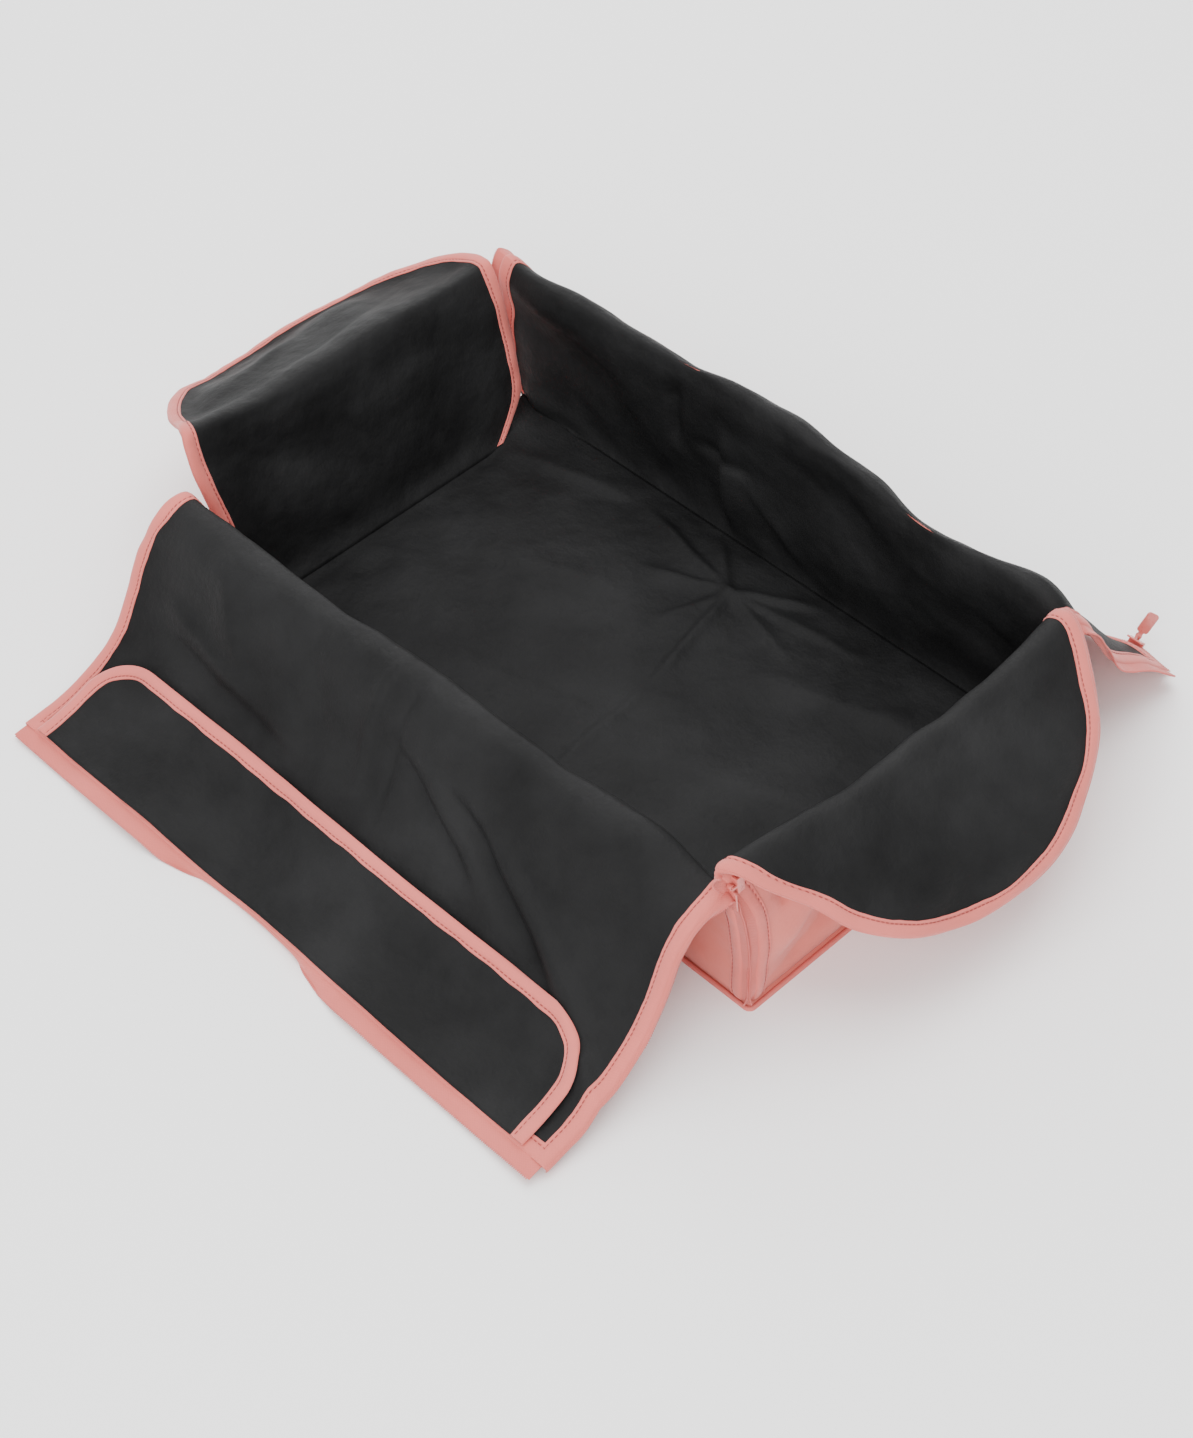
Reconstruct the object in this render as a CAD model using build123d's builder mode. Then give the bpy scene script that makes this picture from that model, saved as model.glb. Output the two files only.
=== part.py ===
"""Soft travel laundry bag, unzipped and laid open.

A long fabric bag on a rectangular base. One panel runs up the front wall and on into the front flap,
another does the same at the rear, and each end panel is a wall with an arched flap above it. Zips
join the panels along every upright edge, round both arches and along the ridge. Every cloth panel is
a shell outside and a lining inside, and every free edge is wrapped in a binding tape.

Frame: +Z up, origin at the centre of the base's underside, +X along the bag to its right end, and
-Y to its front. Millimetres.
"""
from build123d import *
from math import atan2, cos, degrees, hypot, radians, sin
import os

os.makedirs("parts", exist_ok=True)

# ---- driving dimensions ----------------------------------------------------------------------
base_length = 504.0  # along X
base_width = 300.0  # along Y
rim_height = 124.0  # top of the front and right end walls
rear_fold_height = 146.0  # the rear panel stands a little higher before it folds over
left_wall_length = 130.0  # the left end wall, base seam to rim
rim_shift = 10.0  # the open walls lean this far towards the left end at the rim
arch_height = 130.0  # end flaps, rim to the top of the arch
front_flap_reach = 177.8  # from a flap's fold out to its outer edge, measured level
rear_flap_reach = 111.8
front_edge_height = 4.5  # middle of each outer edge's zip, down on the table
rear_edge_height = 5.0
front_flap_turn = 30.0  # how far each flap bends between its fold and its edge, in degrees
rear_flap_turn = 18.0
left_wall_lean = 20.0  # from upright, outwards
left_flap_droop = 36.0  # below level
right_flap_droop = 38.0
storm_flap_depth = 88.0
storm_flap_corner = 40.0
storm_flap_inset = (6.0, 22.0)  # in from the front flap's left and right side edges

# ---- cloth, tape and zip ---------------------------------------------------------------------
shell = 1.0
lining = 0.8
binding = 0.6  # tape thickness, on each face and round the edge
binding_width = 10.0
zip_tape = 6.4  # width of zip tape that shows past the binding
zip_tape_thickness = 0.7
coil = 2.0
coil_thickness = 2.4
piping_radius = 1.8

# ---- fits ------------------------------------------------------------------------------------
fold_gap = 3.0  # from a fold's axis to the first rigid cloth
fold_stand_off = 2.2  # a fold's axis, out from the wall's outer face
fold_rise = 1.0  # a fold's axis, above the wall's top edge
foot_gap = 0.2  # the right end wall's leaning foot, above the floor's lining
seam_gap = 0.6  # the main slider, in from the end of its zip
layer_gap = 0.9  # storm flap over front flap
end_gap = 5.0  # end panels, in from the front and rear walls, which leaves the sliders room
cutter_margin = 1.0  # how far a cutting solid passes the faces that it cuts

# ---- zip sliders -----------------------------------------------------------------------------
slider_length = 12.0
slider_plate = 1.3
slider_neck = 1.9
slider_clearance = 0.5
slider_reach = 4.0  # from the coil's middle out over the tape
bail_bar_radius = 0.8
bail_height = 2.6  # bar's axis, above the slider's plate
bail_span = 6.4
bail_leg = 1.2
pull_eye_radius = 2.0
pull_play = 0.4
pull_width = 9.0
pull_length = 20.0
pull_neck = 3.6
pull_neck_root = 2.0  # how far the neck runs on into the tab
pull_thickness = 1.4
table_swing = 66.0  # the left pulls rest with their tips on the table, this far out from hanging
main_swing = 75.0  # the main pull stands up off its slider

cloth = shell + lining
zip_margin = binding + zip_tape + coil  # from the cloth's edge to the zip's
binding_outside = shell + binding  # both measured from where shell and lining meet
binding_inside = lining + binding
half_length = base_length / 2
half_width = base_width / 2
end_half_width = half_width - end_gap
flap_low = -half_length - rim_shift  # x of the front and rear flaps' zip edges
flap_high = half_length - rim_shift
seam_start = cloth + 2 * piping_radius  # bindings and zips on the walls begin above the piping


def save(piece, name):
    piece.part.label = name
    export_step(piece.part, f"parts/{name}.step")


# ---- base ------------------------------------------------------------------------------------
for name, low, thickness in (("floor_shell", 0, shell), ("floor_lining", shell, lining)):
    with BuildPart() as floor:
        with BuildSketch(Plane.XY.offset(low)):
            RectangleRounded(base_length, base_width, piping_radius)
        extrude(amount=thickness)
    save(floor, name)

with BuildSketch(Plane.XY.offset(piping_radius)) as base_outline:
    RectangleRounded(
        base_length + 2 * piping_radius, base_width + 2 * piping_radius, 2 * piping_radius
    )
base_seam = base_outline.wire()
with BuildPart() as base_piping:
    with BuildSketch(Plane(base_seam @ 0, z_dir=base_seam % 0)):
        Circle(piping_radius)
    sweep(path=base_seam)
save(base_piping, "base_piping")


# ---- front and rear walls --------------------------------------------------------------------
def leaning(x, z):
    """A point on the front or rear wall, after the walls' lean towards the left end."""
    return (x - rim_shift * z / rim_height, z)


def wall_strip(x_low, x_high, z_low, z_high):
    """A strip of a front or rear wall, with both of its upright sides at the walls' lean."""
    with BuildSketch() as strip:
        with BuildLine():
            Polyline(
                leaning(x_low, z_low),
                leaning(x_high, z_low),
                leaning(x_high, z_high),
                leaning(x_low, z_high),
                close=True,
            )
        make_face()
    return strip.sketch


def wall_plane(side, outward):
    """The plane of a front (-1) or rear (+1) wall's inner seam, moved outward by a distance."""
    return Plane((0, side * (half_width - shell + outward), 0), x_dir=(1, 0, 0), z_dir=(0, -1, 0))


walls = (("front", -1, rim_height), ("rear", 1, rear_fold_height))
for wall, side, height in walls:
    edge = half_length - zip_margin
    for layer, inner, outer in (("shell", 0, shell), ("lining", -lining, 0)):
        with BuildPart() as panel:
            with BuildSketch(wall_plane(side, inner)):
                add(wall_strip(-edge, edge, cloth, height))
            extrude(amount=-side * (outer - inner))
        save(panel, f"{wall}_wall_{layer}")

    with BuildPart() as side_binding:
        with BuildSketch(wall_plane(side, -binding_inside)):
            for end in (-1, 1):
                lip, back = end * (edge + binding), end * (edge + binding - binding_width)
                add(wall_strip(min(lip, back), max(lip, back), seam_start, height))
        extrude(amount=-side * (binding_outside + binding_inside))
        with BuildSketch(wall_plane(side, -lining)):
            add(wall_strip(-edge, edge, cloth, height))
        extrude(amount=-side * cloth, mode=Mode.SUBTRACT)
    save(side_binding, f"{wall}_wall_binding")

    for end_name, end in (("left", -1), ("right", 1)):
        strips = ((binding, zip_tape, zip_tape_thickness), (binding + zip_tape, coil, coil_thickness))
        with BuildPart() as corner_zip:
            for start, width, thickness in strips:
                near, far = end * (edge + start), end * (edge + start + width)
                with BuildSketch(wall_plane(side, -thickness / 2)):
                    top = rim_height - fold_gap
                    add(wall_strip(min(near, far), max(near, far), seam_start, top))
                extrude(amount=-side * thickness)
        save(corner_zip, f"{wall}_{end_name}_zip")


# ---- end walls -------------------------------------------------------------------------------
def end_wall(name, plane, start, height):
    """Shell, lining, side bindings and side zips of one end wall, on the plane of its inner seam.

    The plane's x runs up the wall and its z points into the bag.
    """
    edge = end_half_width - zip_margin
    middle = (start + height) / 2
    tall = height - start
    for layer, low, thickness in (("shell", -shell, shell), ("lining", 0, lining)):
        with BuildPart() as panel:
            with BuildSketch(plane.offset(low)):
                with Locations((middle, 0)):
                    Rectangle(tall, 2 * edge)
            extrude(amount=thickness)
        save(panel, f"{name}_{layer}")

    bound_start = max(start, seam_start)
    bound_middle = (bound_start + height) / 2
    bound_tall = height - bound_start
    with BuildPart() as side_binding:
        with BuildSketch(plane.offset(-binding_outside)):
            for side in (-1, 1):
                with Locations((bound_middle, side * (edge + binding - binding_width / 2))):
                    Rectangle(bound_tall, binding_width)
        extrude(amount=binding_outside + binding_inside)
        with BuildSketch(plane.offset(-shell)):
            with Locations((middle, 0)):
                Rectangle(tall, 2 * edge)
        extrude(amount=cloth, mode=Mode.SUBTRACT)
    save(side_binding, f"{name}_binding")

    strips = ((binding, zip_tape, zip_tape_thickness), (binding + zip_tape, coil, coil_thickness))
    with BuildPart() as side_zip:
        for out, width, thickness in strips:
            with BuildSketch(plane.offset(-thickness / 2)):
                for side in (-1, 1):
                    with Locations((bound_middle, side * (edge + out + width / 2))):
                        Rectangle(bound_tall, width)
            extrude(amount=thickness)
    save(side_zip, f"{name}_zip")


right_wall_plane = Plane(
    (half_length - shell, 0, 0), x_dir=(-rim_shift, 0, rim_height), z_dir=(-rim_height, 0, -rim_shift)
)
right_wall_top = hypot(rim_height, rim_shift)
end_wall("right_end_wall", right_wall_plane, cloth + foot_gap, right_wall_top)

lean = radians(left_wall_lean)
left_wall_foot = (-half_length - fold_stand_off, 0, seam_start - fold_gap)
left_wall_plane = Plane(
    left_wall_foot, x_dir=(-sin(lean), 0, cos(lean)), z_dir=(cos(lean), 0, sin(lean))
)
end_wall("left_end_wall", left_wall_plane, fold_gap, left_wall_length)


# ---- arched end flaps ------------------------------------------------------------------------
def arch(inset):
    """A half ellipse, inset from the flap's zip edge, and cut off a little short of its fold."""
    Ellipse(arch_height - inset, end_half_width - inset)
    with Locations((fold_gap, 0)):
        Rectangle(
            arch_height, base_width, align=(Align.MIN, Align.CENTER), mode=Mode.INTERSECT
        )


def arch_ring(plane, outer_inset, inner_inset, low, thickness):
    with BuildPart() as ring:
        with BuildSketch(plane.offset(low)):
            arch(outer_inset)
            Ellipse(arch_height - inner_inset, end_half_width - inner_inset, mode=Mode.SUBTRACT)
        extrude(amount=thickness)
    return ring.part


def end_flap(name, plane):
    """One arched flap. The plane's origin is on the fold, its x runs out along the flap and its z
    points to the lining's side."""
    for layer, low, thickness in (("shell", -shell, shell), ("lining", 0, lining)):
        with BuildPart() as panel:
            with BuildSketch(plane.offset(low)):
                arch(zip_margin)
            extrude(amount=thickness)
        save(panel, f"{name}_{layer}")

    lip = zip_margin - binding
    with BuildPart() as arch_binding:
        wrap = binding_outside + binding_inside
        add(arch_ring(plane, lip, lip + binding_width, -binding_outside, wrap))
        add(arch_ring(plane, zip_margin, lip + binding_width, -shell, cloth), mode=Mode.SUBTRACT)
    save(arch_binding, f"{name}_binding")

    with BuildPart() as arch_tape:
        add(arch_ring(plane, coil, lip, -zip_tape_thickness / 2, zip_tape_thickness))
    save(arch_tape, f"{name}_zip_tape")

    with BuildPart() as arch_coil:
        with BuildSketch(plane.offset(-coil_thickness / 2)):
            arch(0)
            Ellipse(arch_height - coil, end_half_width - coil, mode=Mode.SUBTRACT)
        extrude(amount=coil_thickness)
    save(arch_coil, f"{name}_zip_coil")


droop = radians(right_flap_droop)
right_fold = (
    half_length - rim_shift + fold_stand_off,
    0,
    rim_height + fold_rise,
)
end_flap(
    "right_end_flap",
    Plane(right_fold, x_dir=(cos(droop), 0, -sin(droop)), z_dir=(sin(droop), 0, cos(droop))),
)

droop = radians(left_flap_droop)
left_fold = left_wall_plane.from_local_coords((left_wall_length + fold_rise, 0, -fold_stand_off))
left_flap_plane = Plane(
    left_fold, x_dir=(-cos(droop), 0, -sin(droop)), z_dir=(-sin(droop), 0, cos(droop))
)
end_flap("left_end_flap", left_flap_plane)


# ---- front and rear flaps --------------------------------------------------------------------
class FlapArc:
    """The curve of a flap in a section across the bag: an arc from its fold to its outer edge.

    Lengths are measured along the arc from the fold, and rises towards the lining's side.
    """

    def __init__(self, fold, edge, turn):
        run, fall = edge[0] - fold[0], edge[1] - fold[1]
        chord = hypot(run, fall)
        side = 1 if run > 0 else -1
        self.radius = chord / (2 * sin(radians(turn) / 2))
        self.length = self.radius * radians(turn)
        to_centre = self.radius * cos(radians(turn) / 2) / chord
        self.centre = (
            (fold[0] + edge[0]) / 2 - side * fall * to_centre,
            (fold[1] + edge[1]) / 2 + side * run * to_centre,
        )
        self.first = atan2(fold[1] - self.centre[1], fold[0] - self.centre[0])
        self.way = side

    def at(self, length, rise):
        angle = self.first + self.way * length / self.radius
        reach = self.radius - rise
        return (self.centre[0] + reach * cos(angle), self.centre[1] + reach * sin(angle))

    def slope(self, length):
        """Direction along the flap, away from its fold, in degrees from +Y towards +Z."""
        return degrees(self.first + self.way * length / self.radius) + self.way * 90


def band(arc, start, end, low, high, x_low, x_high):
    """A strip of a curved flap, between two lengths, two rises and two places along the bag."""
    middle = (start + end) / 2
    with BuildPart() as strip:
        with BuildSketch(Plane.YZ.offset(x_low)):
            with BuildLine():
                ThreePointArc(arc.at(start, low), arc.at(middle, low), arc.at(end, low))
                Line(arc.at(end, low), arc.at(end, high))
                ThreePointArc(arc.at(end, high), arc.at(middle, high), arc.at(start, high))
                Line(arc.at(start, high), arc.at(start, low))
            make_face()
        extrude(amount=x_high - x_low)
    return strip.part


def side_strips(arc, out, width, thickness, end):
    """The same strip along both side edges of a flap, a distance out from the cloth's edge."""
    low, high = flap_low + zip_margin, flap_high - zip_margin
    for x_low in (low - out - width, high + out):
        add(band(arc, fold_gap, end, -thickness / 2, thickness / 2, x_low, x_low + width))


def long_flap(name, arc):
    low, high = flap_low + zip_margin, flap_high - zip_margin
    edge = arc.length - zip_margin
    inset = binding_width - binding
    for layer, under, over in (("shell", -shell, 0), ("lining", 0, lining)):
        with BuildPart() as panel:
            add(band(arc, fold_gap, edge, under, over, low, high))
        save(panel, f"{name}_{layer}")

    wrap = (-binding_outside, binding_inside)
    with BuildPart() as side_binding:
        for x_low in (low - binding, high - inset):
            add(band(arc, fold_gap, edge + binding, *wrap, x_low, x_low + binding_width))
        add(band(arc, fold_gap, edge, -shell, lining, low, high), mode=Mode.SUBTRACT)
    save(side_binding, f"{name}_side_binding")

    with BuildPart() as edge_binding:
        add(band(arc, edge - inset, edge + binding, *wrap, low + inset, high - inset))
        add(band(arc, fold_gap, edge, -shell, lining, low, high), mode=Mode.SUBTRACT)
    save(edge_binding, f"{name}_edge_binding")

    with BuildPart() as side_tape:
        side_strips(arc, binding, zip_tape, zip_tape_thickness, edge + binding)
    save(side_tape, f"{name}_side_zip_tape")

    with BuildPart() as side_coil:
        side_strips(arc, binding + zip_tape, coil, coil_thickness, edge + binding)
    save(side_coil, f"{name}_side_zip_coil")

    tape_half, coil_half = zip_tape_thickness / 2, coil_thickness / 2
    with BuildPart() as edge_tape:
        add(band(arc, edge + binding, arc.length - coil, -tape_half, tape_half, low, high))
    save(edge_tape, f"{name}_edge_zip_tape")

    with BuildPart() as edge_coil:
        add(band(arc, arc.length - coil, arc.length, -coil_half, coil_half, low, high))
    save(edge_coil, f"{name}_edge_zip_coil")


fold_out = half_width + fold_stand_off
front_arc = FlapArc(
    (-fold_out, rim_height + fold_rise),
    (-fold_out - front_flap_reach, front_edge_height),
    front_flap_turn,
)
rear_arc = FlapArc(
    (fold_out, rear_fold_height + fold_rise),
    (fold_out + rear_flap_reach, rear_edge_height),
    rear_flap_turn,
)
long_flap("front_flap", front_arc)
long_flap("rear_flap", rear_arc)


# ---- storm flap, folded back on the front flap -----------------------------------------------
storm_rise = binding_inside + layer_gap + binding_outside
storm_end = front_arc.length - zip_margin - binding_width - fold_gap
storm_start = storm_end - storm_flap_depth
storm_low = flap_low + zip_margin + storm_flap_inset[0]
storm_high = flap_high - zip_margin - storm_flap_inset[1]


def storm_outline(inset):
    """Seen from above: square at the fold by the front flap's edge, rounded at its free edge."""
    far = front_arc.at(storm_start, storm_rise)[0] - inset
    near = front_arc.at(storm_end, storm_rise)[0] - binding_width
    corner = storm_flap_corner - inset
    left, right = storm_low + inset, storm_high - inset
    with BuildSketch() as outline:
        with BuildLine():
            Polyline((left, far - corner), (left, near), (right, near), (right, far - corner))
            RadiusArc((right, far - corner), (right - corner, far), -corner)
            Line((right - corner, far), (left + corner, far))
            RadiusArc((left + corner, far), (left, far - corner), -corner)
        make_face()
    return outline.sketch


def storm_layer(start, under, over, inset):
    with BuildPart() as layer:
        add(band(front_arc, start, storm_end, under, over, storm_low, storm_high))
        with BuildSketch(Plane.XY):
            add(storm_outline(inset))
        extrude(amount=2 * rim_height, mode=Mode.INTERSECT)
    return layer.part


storm_pieces = {
    "storm_flap_shell": (storm_rise - shell, storm_rise),
    "storm_flap_lining": (storm_rise, storm_rise + lining),
}
for name, (under, over) in storm_pieces.items():
    with BuildPart() as storm_panel:
        add(storm_layer(storm_start, under, over, binding))
    save(storm_panel, name)

with BuildPart() as storm_binding:
    under, over = storm_rise - binding_outside, storm_rise + binding_inside
    add(storm_layer(storm_start, under, over, 0))
    under, over = under - cutter_margin, over + cutter_margin
    add(storm_layer(storm_start - cutter_margin, under, over, binding_width), mode=Mode.SUBTRACT)
    add(storm_layer(storm_start, storm_rise - shell, storm_rise + lining, binding), mode=Mode.SUBTRACT)
save(storm_binding, "storm_flap_binding")


# ---- zip sliders and pulls -------------------------------------------------------------------
bar_height = coil_thickness / 2 + slider_clearance + slider_plate + bail_height


def bail(frame, plate_top):
    """Two legs and a bar across the slide, standing on the slider's outer plate."""
    with BuildPart() as loop:
        with BuildSketch(Plane(frame.from_local_coords((0, plate_top, 0)), frame.x_dir, frame.y_dir)):
            for side in (-1, 1):
                with Locations((side * (bail_span - bail_leg) / 2, 0)):
                    Rectangle(bail_leg, 2 * bail_bar_radius)
        extrude(amount=bail_height)
        bar_end = frame.from_local_coords((-bail_span / 2, bar_height, 0))
        with BuildSketch(Plane(bar_end, frame.y_dir, frame.x_dir)):
            Circle(bail_bar_radius)
        extrude(amount=bail_span)
    return loop.part


def slider_frame(middle, slide, outward):
    """Local x across the zip, y outward from the cloth and z along the slide."""
    slide, outward = Vector(*slide).normalized(), Vector(*outward).normalized()
    return Plane(middle, x_dir=outward.cross(slide), z_dir=slide)


def slider(name, frame, tape_side):
    """A slider on one free half of a zip: plates over and under the coil, joined at the neck."""
    plate_top = coil_thickness / 2 + slider_clearance + slider_plate
    neck_end = coil / 2 + slider_clearance + slider_neck
    width = slider_reach + neck_end
    centre = -tape_side * (neck_end - slider_reach) / 2
    with BuildPart() as body:
        with BuildSketch(frame.offset(-slider_length / 2)):
            with Locations((centre, 0)):
                RectangleRounded(width, 2 * plate_top, slider_plate / 2)
            channel = slider_reach + coil / 2 + slider_clearance
            with Locations((tape_side * (slider_reach - channel / 2), 0)):
                Rectangle(channel, coil_thickness + 2 * slider_clearance, mode=Mode.SUBTRACT)
        extrude(amount=slider_length)
        add(bail(frame, plate_top))
    save(body, name)


def corner_slider(name, frame, corner_side):
    """A slider at the top of a closed corner zip: two plates that meet round the corner."""
    clear = binding + slider_clearance
    plate_top = coil_thickness / 2 + slider_clearance + slider_plate
    outer = coil / 2 + clear + slider_plate
    with BuildPart() as body:
        with BuildSketch(frame.offset(-slider_length / 2)):
            with Locations((corner_side * (outer - slider_reach) / 2, plate_top - slider_plate / 2)):
                Rectangle(outer + slider_reach, slider_plate)
            with Locations((corner_side * (outer - slider_plate / 2), 0)):
                Rectangle(slider_plate, 2 * plate_top)
        extrude(amount=slider_length)
        add(bail(frame, plate_top))
    save(body, name)


def pull(name, frame, swing):
    """An eye round the bail's bar and a flat tab, turned by swing degrees from along -z."""
    swung = frame.z_dir * cos(radians(swing)) - frame.y_dir * sin(radians(swing))
    eye = Plane(frame.from_local_coords((0, bar_height, 0)), frame.x_dir, swung)
    side_view = Plane(eye.origin, eye.y_dir, eye.x_dir).offset(-pull_neck / 2)
    face_view = Plane(eye.origin, eye.x_dir, -eye.y_dir).offset(-pull_thickness / 2)
    tab_start = pull_eye_radius + slider_plate
    with BuildPart() as tab:
        with BuildSketch(side_view):
            Circle(pull_eye_radius)
        extrude(amount=pull_neck)
        with BuildSketch(face_view):
            with Locations((0, -(tab_start + pull_neck_root) / 2)):
                Rectangle(pull_neck, tab_start + pull_neck_root)
            with Locations((0, -(tab_start + pull_length) / 2)):
                RectangleRounded(pull_width, pull_length - tab_start, pull_width / 4)
        extrude(amount=pull_thickness)
        with BuildSketch(side_view):
            Circle(bail_bar_radius + pull_play)
        extrude(amount=pull_neck, mode=Mode.SUBTRACT)
    save(tab, name)


up_the_corner = (-rim_shift, 0, rim_height)
coil_middle = half_length - coil / 2
top_slider = rim_height - fold_gap - slider_length / 2
bottom_slider = seam_start + slider_length / 2
for wall, side, _ in walls:
    wall_y = side * (half_width - shell)
    for end_name, end, height in (("left", -1, bottom_slider), ("right", 1, top_slider)):
        x, z = leaning(end * coil_middle, height)
        frame = slider_frame((x, wall_y, z), up_the_corner, (0, side, 0))
        corner_side = end * side
        if end_name == "left":
            slider(f"{wall}_left_slider", frame, -corner_side)
            pull(f"{wall}_left_pull", frame, table_swing)
        else:
            corner_slider(f"{wall}_right_slider", frame, corner_side)
            pull(f"{wall}_right_pull", frame, 0)

main_length = rear_arc.length - coil / 2
main_x = flap_high - zip_margin - slider_length / 2 - seam_gap
main_y, main_z = rear_arc.at(main_length, 0)
slope = radians(rear_arc.slope(main_length))
main_frame = slider_frame((main_x, main_y, main_z), (-1, 0, 0), (0, -sin(slope), cos(slope)))
slider("main_slider", main_frame, 1)
pull("main_pull", main_frame, main_swing)

# ---- what the joints and openings are set from -----------------------------------------------
print("front fold y, z:", -fold_out, rim_height + fold_rise)
print("rear fold y, z:", fold_out, rear_fold_height + fold_rise)
print("right fold:", right_fold, " left fold:", tuple(left_fold), " left foot:", left_wall_foot)
print("storm fold y, z:", front_arc.at(storm_end + fold_gap, storm_rise))
print("flap lengths:", round(front_arc.length, 1), round(rear_arc.length, 1))
print("main slider:", (main_x, main_y, main_z), "slope", round(degrees(slope), 2))
print("bar height:", bar_height)
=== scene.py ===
# %% [markdown]
# # A soft laundry bag, unzipped and laid open
#
# The bag is sewn from flat panels of cloth. Each panel is a pink shell outside and a charcoal lining
# inside, with a binding tape folded round every free edge, and half a zip beyond the binding. This
# lesson cuts each panel as a flat grid, places it in space by a few given section lines, and
# then carries every trim on the same cloth, so that binding, stitches and zip follow each crease.

# %% Load the imported frame
import math

import bpy
import numpy as np
from mathutils import Matrix, Quaternion, Vector


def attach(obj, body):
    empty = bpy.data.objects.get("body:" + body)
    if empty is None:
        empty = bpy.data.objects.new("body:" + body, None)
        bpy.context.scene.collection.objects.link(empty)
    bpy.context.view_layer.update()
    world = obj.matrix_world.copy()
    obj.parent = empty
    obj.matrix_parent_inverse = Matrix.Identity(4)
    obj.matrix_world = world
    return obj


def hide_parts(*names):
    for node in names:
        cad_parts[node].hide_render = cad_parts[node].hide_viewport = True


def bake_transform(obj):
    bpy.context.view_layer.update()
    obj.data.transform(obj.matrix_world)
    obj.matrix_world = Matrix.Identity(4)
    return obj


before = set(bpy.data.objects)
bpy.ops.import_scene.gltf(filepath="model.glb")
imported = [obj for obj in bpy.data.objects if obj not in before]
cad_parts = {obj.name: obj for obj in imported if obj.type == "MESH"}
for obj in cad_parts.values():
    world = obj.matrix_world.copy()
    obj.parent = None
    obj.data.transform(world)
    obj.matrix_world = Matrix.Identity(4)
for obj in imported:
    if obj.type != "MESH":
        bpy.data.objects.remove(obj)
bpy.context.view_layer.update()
MM = 0.001  # cloth is cut in millimetres, and Blender's unit is the metre

# %% [markdown]
# ## Reading smooth lines from a few points
#
# A tailor draws a curve through a few marks. `smooth_line` does the same with a Catmull-Rom line.
# `section` reads such a line by the distance along it, which is what cloth keeps when it bends, and
# `graph` reads it as a plain curve of one value against another.


# %% Smooth lines
def smooth_line(points):
    knots = np.array(points, float)
    chord = np.concatenate([[0], np.cumsum(np.linalg.norm(np.diff(knots, axis=0), axis=1))])
    slope = np.gradient(knots, chord, axis=0)
    at = np.linspace(0, chord[-1], 60 * len(knots))
    i = np.clip(np.searchsorted(chord, at, side="right") - 1, 0, len(knots) - 2)
    gap = (chord[i + 1] - chord[i])[:, None]
    t = (at - chord[i])[:, None] / gap
    ends = knots[i] * (1 + 2 * t) * (1 - t) ** 2 + knots[i + 1] * t * t * (3 - 2 * t)
    return ends + gap * t * (1 - t) * (slope[i] * (1 - t) - slope[i + 1] * t)


def section(points):
    """A reader of (out, up) by distance along the line, straight on past both ends, and its length."""
    line = smooth_line(points)
    run = np.concatenate([[0], np.cumsum(np.linalg.norm(np.diff(line, axis=0), axis=1))])
    first = (line[1] - line[0]) / run[1]
    last = (line[-1] - line[-2]) / (run[-1] - run[-2])

    def read(b):
        inside = np.clip(b, 0, run[-1])
        past = b - inside
        ends = [np.where(past > 0, past * last[k], past * first[k]) for k in (0, 1)]
        return [np.interp(inside, run, line[:, k]) + ends[k] for k in (0, 1)]

    return read, float(run[-1])


def graph(*points):
    line = smooth_line(points)
    return lambda at: np.interp(at, line[:, 0], line[:, 1])


def smooth_step(value, low, high):
    t = np.clip((value - low) / (high - low), 0, 1)
    return t * t * (3 - 2 * t)


def bell(value, centre, width):
    return np.exp(-(((value - centre) / width) ** 2))


# %% [markdown]
# ## Creases and ripples
#
# Cloth that has been folded away keeps creases, and cloth that hangs free ripples softly. A crease
# is a ridge along a line on the flat cloth, steep on one side and slack on the other. A ripple is a
# sum of a few long waves whose directions come from a seeded draw, so every run is the same.


# %% Creases and ripples
def crease(a, b, start, end, height, width):
    along = np.subtract(end, start)
    reach = np.hypot(*along)
    along = along / reach
    t = (a - start[0]) * along[0] + (b - start[1]) * along[1]
    off = (a - start[0]) * along[1] - (b - start[1]) * along[0]
    fade = smooth_step(t, -0.15 * reach, 0.3 * reach) * (1 - smooth_step(t, 0.7 * reach, 1.15 * reach))
    width = np.where(off > 0, width, 2.4 * width)
    return height * fade / (1 + (off / width) ** 2) ** 1.5


def ripple(a, b, size, height, seed):
    draw = np.random.default_rng(seed)
    total = 0
    for _ in range(8):
        turn, phase = draw.uniform(0, np.pi), draw.uniform(0, 2 * np.pi)
        wave = size * draw.uniform(0.6, 1.5) / (2 * np.pi)
        total = total + np.sin((a * np.cos(turn) + b * np.sin(turn)) / wave + phase)
    return height * total / 3


# %% [markdown]
# ## A panel of cloth
#
# A panel knows where each point of its flat pattern (a across, b up from the base seam) lies in
# space, which side its lining is on, and its creases. Anything sewn to the panel asks it for a place
# at a small rise above or below the cloth, and so it lies on the cloth wherever the cloth goes.


# %% Panel
SEAM_HOLD = 16.0  # creases fade out over this much cloth above a seam
PRESSED = 0.88  # how much of a dip into the table is pressed back up


def held_at_seam(a, b):
    return smooth_step(b, 0, SEAM_HOLD)


def facing(place, a, b, step=0.5):
    along = place(a + step, b) - place(a - step, b)
    up = place(a, b + step) - place(a, b - step)
    out = np.cross(along, up)
    return out / np.maximum(np.linalg.norm(out, axis=-1, keepdims=True), 1e-9)


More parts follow.
